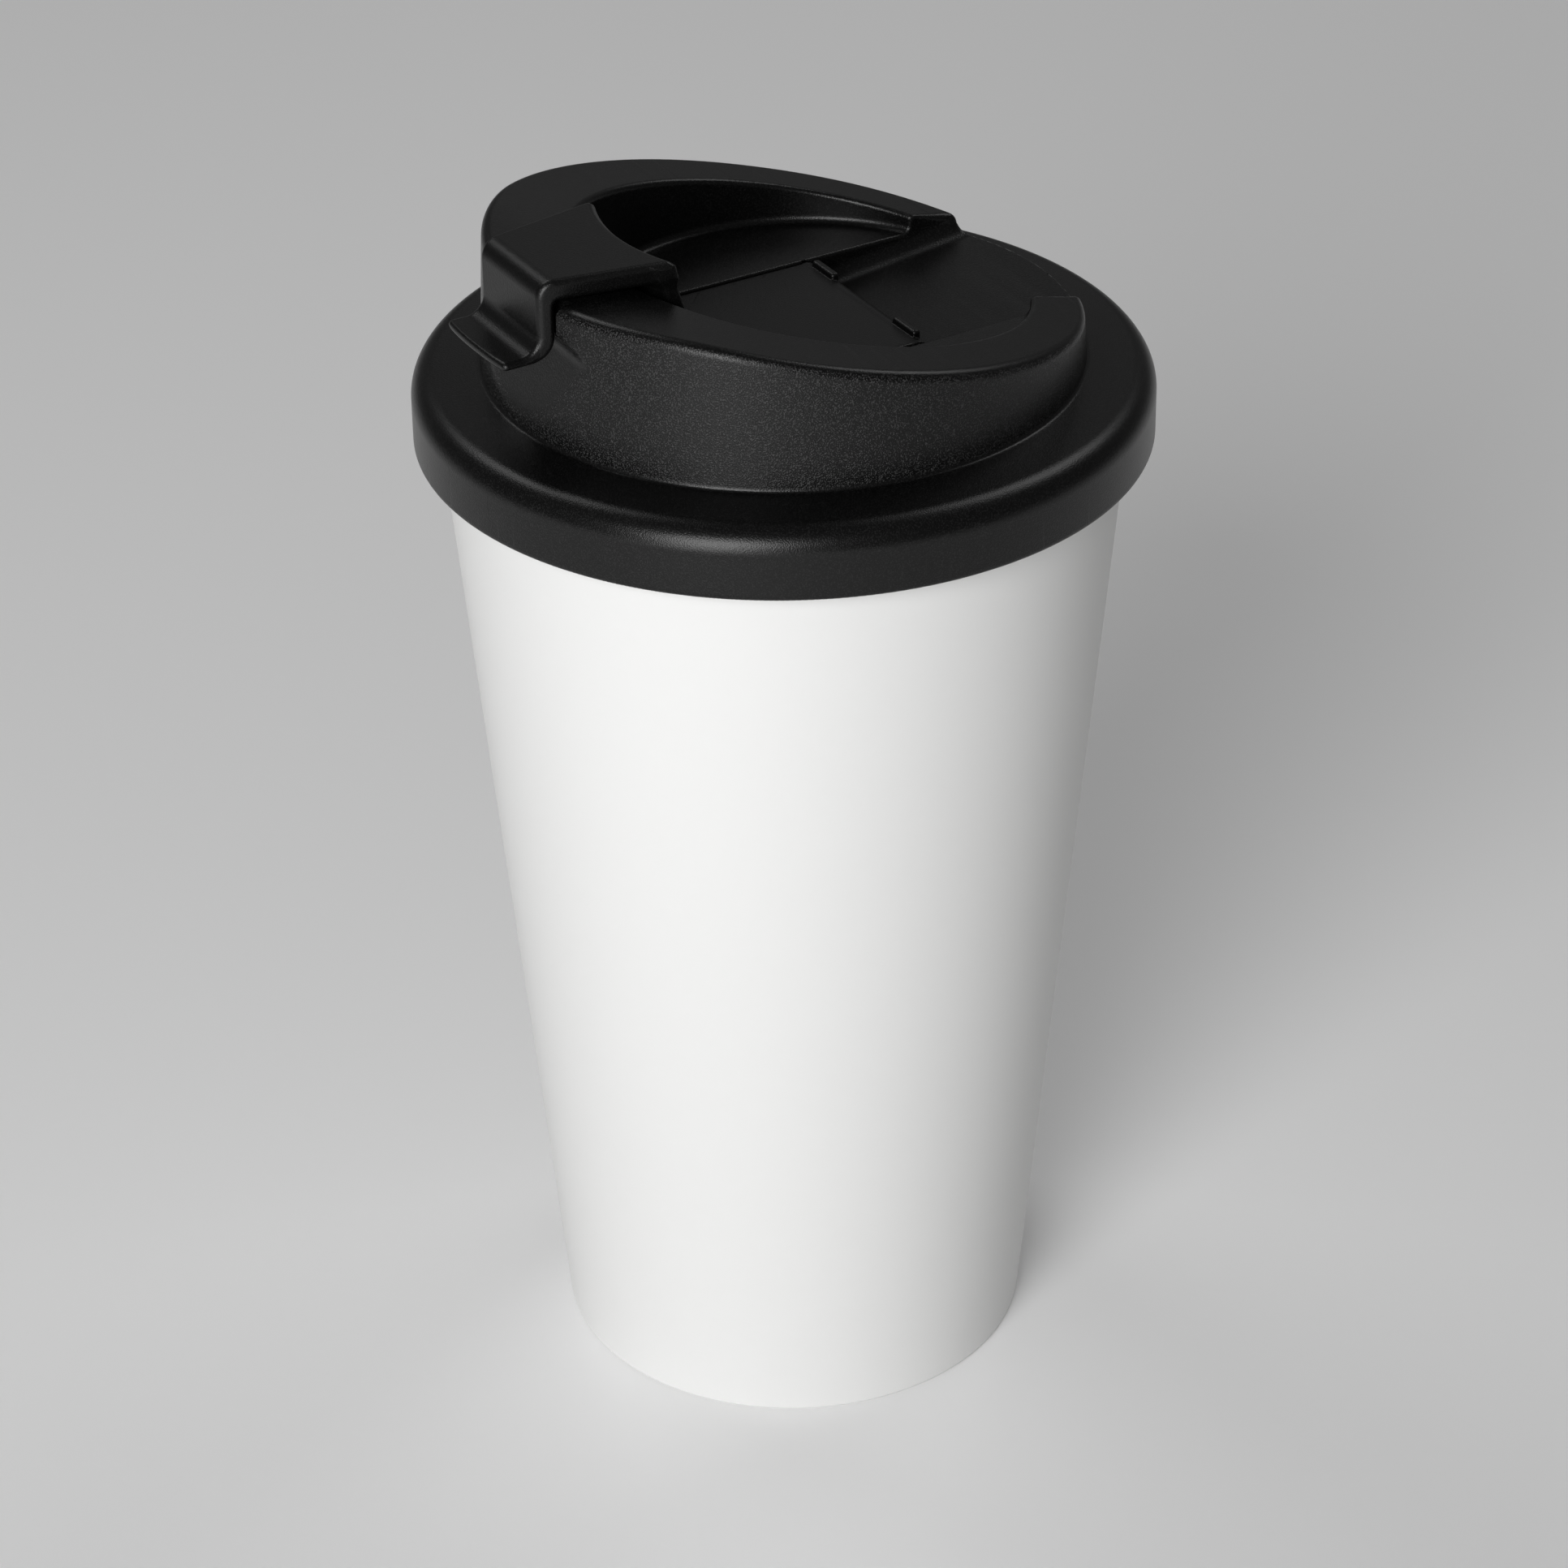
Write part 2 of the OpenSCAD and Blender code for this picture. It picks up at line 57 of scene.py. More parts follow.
# %% Camera
CAMERA_AZIMUTH = 59.8
CAMERA_DISTANCE = 513.8
CAMERA_HEIGHT = 385.9
CAMERA_TILT = 31.122
CAMERA_PAN = -0.063
CAMERA_ROLL = -0.717
CAMERA_LENS = 110.22
SENSOR_WIDTH = 36


def camera_matrix():
    """Camera's pose, from its place and the directions of its right, up and back."""
    pan = math.radians(CAMERA_PAN)
    tilt = math.radians(CAMERA_TILT)
    turn = Matrix.Rotation(math.radians(CAMERA_AZIMUTH), 3, "Z")
    place = turn @ Vector((0, -CAMERA_DISTANCE, CAMERA_HEIGHT)) * MM
    level = math.cos(tilt)
    ahead = turn @ Vector((math.sin(pan) * level, math.cos(pan) * level, -math.sin(tilt)))
    right = ahead.cross(Vector((0, 0, 1))).normalized()
    roll = Matrix.Rotation(math.radians(-CAMERA_ROLL), 3, ahead)
    right = roll @ right
    up = right.cross(ahead)
    basis = Matrix((right, up, -ahead)).transposed().to_4x4()
    return Matrix.Translation(place) @ basis


camera = bpy.data.objects.new("camera", bpy.data.cameras.new("camera"))
camera.data.lens = CAMERA_LENS
camera.data.sensor_width = SENSOR_WIDTH
camera.data.clip_start = 0.01
camera.matrix_world = camera_matrix()
bpy.context.collection.objects.link(camera)
bpy.context.scene.camera = camera
print("camera at", [round(v, 4) for v in camera.location])

# %% [markdown]
# ## Colours and nodes
# A colour is picked as a screen sees it, in sRGB hex, but light adds up in linear values. One
# function does that change, with the numbers of the sRGB standard. Another adds a shader node
# with its settings and its links, so that a material reads as a short list of nodes.

# %% Colour and node helpers


def linear(hex_colour):
    """Linear RGBA of an sRGB hex colour such as "#808080"."""
    parts = [int(hex_colour[i:i + 2], 16) / 255 for i in (1, 3, 5)]
    light = [p / 12.92 if p <= 0.04045 else ((p + 0.055) / 1.055) ** 2.4 for p in parts]
    return (*light, 1.0)


def add(tree, kind, settings=None, inputs=None):
    """Adds a node. Each input goes by its socket's name or number, and its value is a number,
    a colour or another node's output. A Mix node's colour sockets need their numbers: 0 is
    the factor, 6 and 7 are the two colours, and output 2 is their mix."""
    node = tree.nodes.new(kind)
    for name, value in (settings or {}).items():
        setattr(node, name, value)
    for name, value in (inputs or {}).items():
        if isinstance(value, bpy.types.NodeSocket):
            tree.links.new(value, node.inputs[name])
        else:
            node.inputs[name].default_value = value
    return node


def new_material(name):
    """Empty material with its shader and output, ready for more nodes."""
    material = bpy.data.materials.new(name)
    material.use_nodes = True
    tree = material.node_tree
    tree.nodes.clear()
    shader = add(tree, "ShaderNodeBsdfPrincipled")
    add(tree, "ShaderNodeOutputMaterial", inputs={"Surface": shader.outputs["BSDF"]})
    return material, tree, shader


print("mid grey is", [round(v, 3) for v in linear("#808080")])

# %% [markdown]
# ## The white wall: matt moulded polypropylene
# The shell's mould is blasted, so its polypropylene comes out matt with a very fine grain, and
# the eye sees an even, chalky white with a broad, dull highlight. The grain could be real
# relief, but a bump from a fine noise costs nothing and keeps the wall's outline clean.
# Polypropylene's index is 1.49.

# %% White polypropylene
POLYPROPYLENE_IOR = 1.49
MATT_ROUGHNESS = 0.55
GRAIN = 0.35
GRAIN_DEPTH = 0.03
GRAIN_STRENGTH = 0.12


def matt_white_polypropylene():
    """Even white with the fine grain of a blasted mould."""
    material, tree, shader = new_material("white_polypropylene_blasted_mould")
    shader.inputs["Base Color"].default_value = linear("#E9E9E8")
    shader.inputs["Roughness"].default_value = MATT_ROUGHNESS
    shader.inputs["IOR"].default_value = POLYPROPYLENE_IOR
    place = add(tree, "ShaderNodeTexCoord").outputs["Object"]
    grain = add(tree, "ShaderNodeTexNoise", inputs={
        "Vector": place, "Scale": 1 / (GRAIN * MM), "Detail": 3.0})
    bump = add(tree, "ShaderNodeBump", inputs={
        "Height": grain.outputs["Fac"], "Strength": GRAIN_STRENGTH, "Distance": GRAIN_DEPTH * MM})
    tree.links.new(bump.outputs["Normal"], shader.inputs["Normal"])
    return material


white_plastic = matt_white_polypropylene()
print("white grain of", GRAIN, "mm")

# %% [markdown]
# ## The seals: moulded silicone
# The two seals are pressed from silicone rubber in a lightly etched mould, which gives the eye a
# soft, waxy surface with faint waves. One noise draws the waves and a slight cloudiness, because
# in a real seal both come from the same uneven flow. Silicone's index is 1.41.

# %% Silicone
SILICONE_IOR = 1.41
WAXY_ROUGHNESS = 0.5
WAVE = 0.6
WAVE_DEPTH = 0.02
WAVE_STRENGTH = 0.5


def silicone(name, shade, pale_shade):
    """Waxy silicone rubber, faintly cloudy between two close shades."""
    material, tree, shader = new_material(name)
    shader.inputs["Roughness"].default_value = WAXY_ROUGHNESS
    shader.inputs["IOR"].default_value = SILICONE_IOR
    place = add(tree, "ShaderNodeTexCoord").outputs["Object"]
    waves = add(tree, "ShaderNodeTexNoise", inputs={
        "Vector": place, "Scale": 1 / (WAVE * MM), "Detail": 2.0}).outputs["Fac"]
    colour = add(tree, "ShaderNodeMix", {"data_type": "RGBA"}, {
        0: waves, 6: linear(shade), 7: linear(pale_shade)})
    relief = add(tree, "ShaderNodeBump", inputs={
        "Height": waves, "Strength": WAVE_STRENGTH, "Distance": WAVE_DEPTH * MM})
    tree.links.new(colour.outputs[2], shader.inputs["Base Color"])
    tree.links.new(relief.outputs["Normal"], shader.inputs["Normal"])
    return material


clear_silicone = silicone("translucent_silicone_moulded", "#C1C1BE", "#D1D1CE")
dark_silicone = silicone("black_silicone_moulded", "#222223", "#2A2A2B")
print("silicone waves of", WAVE, "mm")

# %% [markdown]
# ## Turned pieces
# The shell and the liner are round, so each is a profile turned about the cup's axis, as on a
# lathe. Blender's Screw and Bevel modifiers can do that too, but a Bevel gives all corners one
# radius, and here each corner has its own.

# %% Lathe
TURNS = 256


def rounded(corners, steps=6):
    """Profile of (radius, height, rounding) corners, each rounded by an arc of a few steps."""
    out = []
    places = [Vector(corner[:2]) for corner in corners]
    for i, (p, corner) in enumerate(zip(places, corners)):
        rounding = corner[2]
        if rounding == 0:
            out.append(tuple(p))
            continue
        a = (places[i - 1] - p).normalized()
        b = (places[(i + 1) % len(places)] - p).normalized()
        half = a.angle(b) / 2
        centre = p + (a + b).normalized() * rounding / math.sin(half)
        start = p + a * rounding / math.tan(half) - centre
        end = p + b * rounding / math.tan(half) - centre
        for k in range(steps + 1):
            direction = start.slerp(end, k / steps).normalized()
            out.append(tuple(centre + direction * rounding))
    return out


def finish_mesh(name, points, faces, material, sharp=35):
    """Object of a mesh in millimetres, shaded smooth but for edges over `sharp` degrees."""
    mesh = bpy.data.meshes.new(name)
    mesh.from_pydata((np.asarray(points) * MM).tolist(), [], faces)
    mesh.shade_smooth()
    mesh.set_sharp_from_angle(angle=math.radians(sharp))
    mesh.materials.append(material)
    piece = bpy.data.objects.new(name, mesh)
    bpy.context.collection.objects.link(piece)
    return piece


def turned(name, profile, material):
    """Turns a closed profile of (radius, height) pairs about the cup's axis."""
    points = []
    rings = []
    for radius, height in profile:
        first = len(points)
        if radius == 0:
            points.append((0, 0, height))
            rings.append([first] * TURNS)
            continue
        for t in range(TURNS):
            angle = 2 * math.pi * t / TURNS
            points.append((radius * math.cos(angle), radius * math.sin(angle), height))
        rings.append([first + t for t in range(TURNS)])
    faces = []
    for here, there in zip(rings, rings[1:] + rings[:1]):
        for t in range(TURNS):
            n = (t + 1) % TURNS
            face = tuple(dict.fromkeys((here[t], here[n], there[n], there[t])))
            if len(face) > 2:
                faces.append(face)
    return finish_mesh(name, points, faces, material)


print("a turned piece has", TURNS, "steps round")

# %% [markdown]
# ## The outer shell
# The white wall is a plain cone that stands on a narrow ring round a shallow hollow, like the
# foot of a paper cup. At its top it turns upright into the neck that the lid screws onto. The
# walls' thicknesses are measured level, not square to the leaning wall.

# %% Outer shell
CUP_H = 132.0
BASE_R = 29.6
TAPER = math.tan(math.radians(5.18))
NECK_H = 6.6
NECK_Z = CUP_H - NECK_H
NECK_R = BASE_R + NECK_Z * TAPER
FLANGE_T = 1.6
FLANGE_Z = CUP_H - FLANGE_T
SHELL_T = 1.908
FOOT_W = 3.0
FOOT_H = 1.2
BASE_T = 2.0
BASE_TOP = FOOT_H + BASE_T
shell_profile = rounded([
    (0, FOOT_H, 0),
    (BASE_R - FOOT_W, FOOT_H, 0.4),
    (BASE_R - FOOT_W, 0, 0.5),
    (BASE_R, 0, 0.7),
    (NECK_R, NECK_Z, 0.3),
    (NECK_R, FLANGE_Z, 0.15),
    (NECK_R - SHELL_T, FLANGE_Z, 0),
    (NECK_R - SHELL_T, NECK_Z, 0.5),
    (BASE_R + BASE_TOP * TAPER - SHELL_T, BASE_TOP, 3.0),
    (0, BASE_TOP, 0)])
shell = turned("shell_wall", shell_profile, white_plastic)
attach(shell, "cup")
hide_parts("outer_shell")
print("neck radius", round(NECK_R, 2), "and", len(shell_profile), "points in the shell's profile")

# %% [markdown]
# ## The inner liner
# The liner holds the drink. It hangs in the shell from a flange over the neck, and the closed
# air between the two keeps the drink warm. Its floor has a wide rounding, which is easy to
# clean, and it is turned like the shell, with more steps in its wider arcs.

# %% Inner liner
LINER_T = 1.607
LINER_FLOOR_T = 1.6
LINER_STEP = 5.924
FLOOR_Z = 7.2
FLOOR_R = BASE_R + FLOOR_Z * TAPER - LINER_STEP
UNDER_Z = FLOOR_Z - LINER_FLOOR_T
MOUTH_R = BASE_R + CUP_H * TAPER - LINER_STEP
liner_profile = rounded([
    (0, UNDER_Z, 0),
    (FLOOR_R - LINER_FLOOR_T * TAPER + LINER_T, UNDER_Z, 7.6),
    (BASE_R + FLANGE_Z * TAPER - LINER_STEP + LINER_T, FLANGE_Z, 0.5),
    (NECK_R, FLANGE_Z, 0.15),
    (NECK_R, CUP_H, 0.4),
    (MOUTH_R, CUP_H, 0.5),
    (FLOOR_R, FLOOR_Z, 6.0),
    (0, FLOOR_Z, 0)], steps=10)
liner = turned("liner_wall", liner_profile, white_plastic)
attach(liner, "cup")
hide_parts("inner_liner")
print("mouth radius", round(MOUTH_R, 2))

# %% [markdown]
# ## The thread
# The lid screws down on a coarse thread, which shows once the lid is off. A ridge with sloping
# flanks is carried round a rising line, and it sinks into the wall at both its ends, because a
# mould's thread runs out like that. The lid's skirt has a ridge of its own, made the same way.

# %% Neck thread
THREAD_RISE = 3.2
THREAD_STEPS = 128
RIDGE_FOOT = 1.7
RIDGE_CREST = 0.7
RIDGE_ROOT = 0.3
RUN_OUT = 0.08
SUNK_END = 0.02
NECK_CREST_R = 41.6
NECK_RIDGE_UP = 1.3


def ease(value, start, end):
    """Smooth change from 0 at start to 1 at end."""
    t = np.clip((value - start) / (end - start), 0, 1)
    return t * t * (3 - 2 * t)


def ridge(name, wall, crest, start_z, start_turn, turns, material):
    """Ridge round the cup's axis, from the wall's radius to the crest's, rising as it turns."""
    out = 1 if crest > wall else -1
    section = ((wall - RIDGE_ROOT * out, -RIDGE_FOOT), (wall, -RIDGE_FOOT),
               (crest, -RIDGE_CREST), (crest, RIDGE_CREST),
               (wall, RIDGE_FOOT), (wall - RIDGE_ROOT * out, RIDGE_FOOT))
    steps = round(turns * THREAD_STEPS)
    points = []
    for i in range(steps + 1):
        along = i / steps * turns
        grown = float(ease(min(along, turns - along), 0, RUN_OUT))
        back = (1 - grown) * (crest - wall + SUNK_END * out)
        angle = 2 * math.pi * (start_turn + along)
        height = start_z + THREAD_RISE * along
        for radius, rise in section:
            r = radius - back
            points.append((r * math.cos(angle), r * math.sin(angle), height + rise / 2))
    side = len(section)
    faces = [tuple(range(side)), tuple(reversed(range(steps * side, steps * side + side)))]
    for i in range(steps):
        for k in range(side):
            j = (k + 1) % side
            faces.append((i * side + k, (i + 1) * side + k, (i + 1) * side + j, i * side + j))
    if out < 0:
        faces = [face[::-1] for face in faces]
    return finish_mesh(name, points, faces, material, sharp=50)


neck_thread = ridge("neck_thread", wall=NECK_R, crest=NECK_CREST_R, start_z=NECK_Z + NECK_RIDGE_UP,
                    start_turn=0.1, turns=1.25, material=white_plastic)
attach(neck_thread, "cup")
print("neck thread stands", round(NECK_CREST_R - NECK_R, 2), "mm proud")

# %% [markdown]
# ## Moulded pieces as distance fields
# The lid and the clip are injection moulded, so no edge on them is sharp, and the roundings
# run into each other. That is hard to bevel by hand. Here a piece is a function instead: it
# gives each point's distance to the surface, below zero inside. Joining two such functions
# with a round step gives a fillet of that radius. A skin of small faces is then drawn where
# the function is zero.

# %% Joining fields


def both(a, b, radius):
    """Where a and b overlap, with the edge between them rounded to the radius."""
    inner = np.minimum(np.maximum(a, b), -radius)
    return inner + np.hypot(np.maximum(a + radius, 0), np.maximum(b + radius, 0))


def either(a, b, radius):
    """a and b together, with a fillet of the radius in the corner between them."""
    return -both(-a, -b, radius)


def swept_corner(u, v, radius, low, high):
    """Distance to a convex corner round (0, 0) whose normals turn from low to high."""
    turn = np.clip(np.arctan2(v, u), low, high)
    return u * np.cos(turn) + v * np.sin(turn) - radius


print("corner of two planes, 1 mm in each:", both(np.array(-1.0), np.array(-1.0), 2.0))

# %% [markdown]
# ## A skin where the field is zero
# Space is cut into small cells. Each cell that the surface crosses gets one point, which slides
# down the field's slope onto the surface, and four such points round an edge that crosses the
# surface make a face. Blender's Remesh and volume tools could do this, but they smear edges of
# a few tenths of a millimetre. Flat places don't need their faces, so Decimate merges those.

# %% Settling points on the surface
NUDGE = 0.01
LEAST_SLOPE = 0.05


def slope(field, p):
    """Field's value and gradient at the points p."""
    value = field(p[:, 0], p[:, 1], p[:, 2])
    parts = []
    for axis in range(3):
        step = np.zeros(3)
        step[axis] = NUDGE
        ahead = p + step
        behind = p - step
        rise = field(ahead[:, 0], ahead[:, 1], ahead[:, 2])
        rise = rise - field(behind[:, 0], behind[:, 1], behind[:, 2])
        parts.append(rise / (2 * NUDGE))
    return value, np.stack(parts, axis=1)


def settle(field, p, reach, rounds=4):
    """Moves points onto the surface, each by no more than the reach."""
    home = p.copy()
    for _ in range(rounds):
        value, gradient = slope(field, p)
        square = np.maximum((gradient ** 2).sum(axis=1), LEAST_SLOPE)
        p = p - gradient * (value / square)[:, None]
        p = np.clip(p, home - reach, home + reach)
    return p


print("slopes are measured over", 2 * NUDGE, "mm")

# %% Thinning the skin
WELD = 0.004


def points_of(mesh):
    """Mesh's points in millimetres, one row each."""
    flat = np.empty(len(mesh.vertices) * 3)
    mesh.vertices.foreach_get("co", flat)
    return flat.reshape(-1, 3) / MM


def weld(mesh):
    """Joins points that have met, so that no sliver of a face is left between them."""
    shape = bmesh.new()
    shape.from_mesh(mesh)
    bmesh.ops.remove_doubles(shape, verts=shape.verts, dist=WELD * MM)
    shape.to_mesh(mesh)
    shape.free()


def thin(piece, field, keep, pitch):
    """Merges flat faces, sets the points back on the surface and takes its true normals."""
    modifier = piece.modifiers.new("thin", "DECIMATE")
    modifier.ratio = keep
    shown = piece.evaluated_get(bpy.context.evaluated_depsgraph_get())
    mesh = bpy.data.meshes.new_from_object(shown)
    piece.modifiers.clear()
    old = piece.data
    piece.data = mesh
    bpy.data.meshes.remove(old)
    points = settle(field, points_of(mesh), pitch / 4)
    mesh.vertices.foreach_set("co", (points * MM).ravel())
    weld(mesh)
    normals = slope(field, points_of(mesh))[1]
    normals /= np.linalg.norm(normals, axis=1)[:, None]
    mesh.shade_smooth()
    mesh.normals_split_custom_set_from_vertices(normals.tolist())
    print(piece.name, "has", len(mesh.polygons), "faces")


print("points closer than", WELD, "mm are joined")

# %% Drawing the skin
ALL_SMOOTH = 180


def skin(name, field, low, high, pitch, keep, material):
    """Skin over the field's zero, thinned to a share of its faces where it is flat."""
    axes = [np.arange(a, b + pitch, pitch, dtype=np.float32) for a, b in zip(low, high)]
    inside = field(axes[0][:, None, None], axes[1][None, :, None], axes[2][None, None, :]) < 0
    # How many of each cell's eight corners are inside: not none and not all where it is crossed
    count = inside[:-1].astype(np.int8) + inside[1:]
    count = count[:, :-1] + count[:, 1:]
    count = count[:, :, :-1] + count[:, :, 1:]
    crossed = (count > 0) & (count < 8)
    number = np.full(crossed.shape, -1, dtype=np.int32)
    number[crossed] = np.arange(crossed.sum())
    points = np.argwhere(crossed) * pitch + np.array(low) + pitch / 2
    points = settle(field, points, pitch / 2)
    # One face round each grid edge with an end inside and an end outside
    quads = []
    for first in range(3):
        order = (first, (first + 1) % 3, (first + 2) % 3)
        a = inside.transpose(order)
        n = number.transpose(order)
        i, j, k = np.nonzero(a[:-1, 1:-1, 1:-1] != a[1:, 1:-1, 1:-1])
        ring = np.stack([n[i, j, k], n[i, j + 1, k], n[i, j + 1, k + 1], n[i, j, k + 1]], axis=1)
        back = ~a[i, j + 1, k + 1]
        ring[back] = ring[back][:, ::-1]
        quads.append(ring)
    quads = np.concatenate(quads)
    piece = finish_mesh(name, points, quads.tolist(), material, sharp=ALL_SMOOTH)
    thin(piece, field, keep, pitch)
    return piece


# %% [markdown]
# ## The lid's main sizes
# The lid is a skirt over the neck, a nearly flat shoulder and a drinking rim that leans inward.
# Each height and radius is counted from the cup's own, so that the lid is sure to fit its neck.

# %% Lid sizes
LID_T = 1.8
SKIRT_GAP = 1.5
SKIRT_H = 7.1
SEAL_T = 1.2
SHOULDER_H = 2.3
SHOULDER_W = 8.4
SHOULDER_FALL = math.radians(6.3)
RIM_H = 17.6
RIM_DRAFT = math.radians(2.6)
LID_R = NECK_R + SKIRT_GAP + LID_T
SEAT_Z = CUP_H + SEAL_T
HEM_Z = SEAT_Z - SKIRT_H
SHOULDER_Z = SEAT_Z + SHOULDER_H
RIM_R = LID_R - SHOULDER_W
RIM_Z = SHOULDER_Z + RIM_H
print("lid radius", round(LID_R, 2), "rim radius", round(RIM_R, 2))

# %% [markdown]
# ## The lid's finish: black polypropylene from a spark-eroded mould
# A spark-eroded mould is covered with tiny pits, and the plastic copies them as tiny bumps. On
# black plastic each bump catches the lamp by itself, so the surface sparkles. The drinking rim's
# outer wall is eroded deeper than the rest, which is why it glitters most in the photograph,
# and its rounded top edge shows as a grainy line. The finger scoop is smooth.
# Real bumps are about 0.1 mm wide. They are drawn nearly twice as wide, or they wouldn't show.
# Two bump nodes in a row shape them, and the glint off each is painted into the base colour as a
# pale fleck, a painted highlight, because a glint so small is lost between pixels. The deeper
# bumps show only where a mask made from place is 1, and the painted glints are strongest there.
# Pits swallow a part of the mirror-like light, so the shader's specular level is lowered.

# %% Mask of the rim's outer wall
# Where each side of the mask is 0 and where it is 1: off the wall's line, or above its foot
WALL_INNER = (-0.45, -0.15)
WALL_OUTER = (1.2, 0.6)
WALL_FOOT = (0.2, 0.6)


def rim_wall_mask(tree, place):
    """1 on the rim's outer wall, 0 inside it, in the scoop and on the shoulder."""
    height = add(tree, "ShaderNodeSeparateXYZ", inputs={"Vector": place}).outputs["Z"]
    flat = add(tree, "ShaderNodeVectorMath", {"operation": "MULTIPLY"}, {0: place, 1: (1, 1, 0)})
    radius = add(tree, "ShaderNodeVectorMath", {"operation": "LENGTH"}, {
        0: flat.outputs["Vector"]})
    # With the draft added back the leaning wall has one radius from foot to top
    draft = math.tan(RIM_DRAFT)
    upright = add(tree, "ShaderNodeMath", {"operation": "MULTIPLY_ADD"}, {
        0: height, 1: draft, 2: radius.outputs["Value"]}).outputs["Value"]
    wall = RIM_R + SHOULDER_Z * draft
    mask = 1.0
    for value, line, (none, full) in ((upright, wall, WALL_INNER), (upright, wall, WALL_OUTER),
                                      (height, SHOULDER_Z, WALL_FOOT)):
        fade = add(tree, "ShaderNodeMapRange", {"interpolation_type": "SMOOTHSTEP"}, {
            "Value": value, "From Min": (line + none) * MM, "From Max": (line + full) * MM})
        mask = add(tree, "ShaderNodeMath", {"operation": "MULTIPLY"}, {
            0: mask, 1: fade.outputs["Result"]}).outputs["Value"]
    return mask


print("rim wall's radius at its foot:", round(RIM_R, 2))

# %% Black polypropylene
GRIT = 0.17
FINE_DEPTH = 0.012
DEEP_DEPTH = 0.02
BUMP_SPAN = (0.2, 0.8)
# Noise span of the painted glints, pale flecks that stand in for the bumps' highlights
PAINTED_GLINT_SPAN = (0.5, 0.68)
PITTED_SPECULAR = 0.35
BLACK = "#070707"
# Colour of the painted glints, a painted highlight on the black
PAINTED_GLINT = "#383838"


def grit(tree, place, span):
    """Random grains, 0 below the span of noise values and 1 above it."""
    noise = add(tree, "ShaderNodeTexNoise", inputs={
        "Vector": place, "Scale": 1 / (GRIT * MM), "Detail": 1.0})
    grains = add(tree, "ShaderNodeMapRange", {"interpolation_type": "SMOOTHSTEP"}, {
        "Value": noise.outputs["Fac"], "From Min": span[0], "From Max": span[1]})
    return grains.outputs["Result"]


def spark_black_polypropylene(name, roughness, painted_glints_elsewhere, deep_wall):
    """Satin black with fine bumps and painted glints, both stronger on the rim's wall if
    deep_wall.
    """
    material, tree, shader = new_material(name)
    shader.inputs["IOR"].default_value = POLYPROPYLENE_IOR
    shader.inputs["Specular IOR Level"].default_value = PITTED_SPECULAR
    shader.inputs["Roughness"].default_value = roughness
    place = add(tree, "ShaderNodeTexCoord").outputs["Object"]
    relief = add(tree, "ShaderNodeBump", inputs={
        "Height": grit(tree, place, BUMP_SPAN), "Strength": 1.0, "Distance": FINE_DEPTH * MM})
    # Painted highlights: pale flecks painted into the base colour where the bumps would glint
    painted_glints = grit(tree, place, PAINTED_GLINT_SPAN)
    share = painted_glints_elsewhere
    if deep_wall:
        mask = rim_wall_mask(tree, place)
        relief = add(tree, "ShaderNodeBump", inputs={
            "Height": painted_glints, "Strength": mask, "Distance": DEEP_DEPTH * MM,
            "Normal": relief.outputs["Normal"]})
        share = add(tree, "ShaderNodeMapRange", inputs={
            "Value": mask, "To Min": painted_glints_elsewhere, "To Max": 1.0}).outputs["Result"]
    # The painted glints are full on the rim's wall and only a share of that elsewhere
    glint_amount = add(tree, "ShaderNodeMath", {"operation": "MULTIPLY"}, {0: painted_glints, 1: share})
    colour = add(tree, "ShaderNodeMix", {"data_type": "RGBA"}, {
        0: glint_amount.outputs["Value"], 6: linear(BLACK), 7: linear(PAINTED_GLINT)})
    tree.links.new(colour.outputs[2], shader.inputs["Base Color"])
    tree.links.new(relief.outputs["Normal"], shader.inputs["Normal"])
    return material


lid_plastic = spark_black_polypropylene(
    "black_polypropylene_spark_texture", roughness=0.3, painted_glints_elsewhere=0.25, deep_wall=True)
clip_plastic = spark_black_polypropylene(
    "black_polypropylene_satin_clip", roughness=0.34, painted_glints_elsewhere=0.12, deep_wall=False)
print("black grit of", GRIT, "mm")

# %% [markdown]
# ## The sloped rim
# The drinking rim is highest over the clip, so that the clip's bridge sits level on it, and it
# falls away towards the open end. A side view of two lines joined by one wide arc gives that.

# %% Rim's top
RIM_FALL = math.radians(12.4)
RIM_FLAT = 25.5
RIM_BLEND = 40.0


def rim_top(y, z):
    """Distance above the rim's top, which is level over the clip's side and then falls."""
    run = RIM_BLEND * math.tan(RIM_FALL / 2)
    u = y + RIM_FLAT + run
    v = z - RIM_Z + RIM_BLEND
    return swept_corner(u, v, RIM_BLEND, math.pi / 2 - RIM_FALL, math.pi / 2)


print("rim's top is", RIM_Z, "mm above the table")

# %% [markdown]
# ## The recess, the well and the ramp
# Inside the rim is a round recess, a little off the cup's axis. A deeper well across it takes
# the clip's flap, and a ramp leads out of the well through the rim's open end, so that the clip
# can fold back there and spilt drink runs home. All three are cuts, each with a function of its
# own or a line in the lid's, so that each keeps its own rounding.

# %% Recess, well and ramp
RECESS_R = 26.9
RECESS_Y = 2.7
DECK_H = 4
DECK_Z = SHOULDER_Z + DECK_H
WELL_D = 4.4
WELL_Z = DECK_Z - WELL_D
WELL_W = 13.4
WELL_ROUND = 1.0
WELL_END_ROUND = 0.4
RAMP_Y = 9.0
RAMP_STEP = 0.2
RAMP_RISE = math.radians(6.3)
RAMP_ROUND = 2.2


def recess_wall(x, y, radius):
    """Distance beyond an upright wall of the radius round the recess's own axis."""
    return np.hypot(x, y - RECESS_Y) - radius


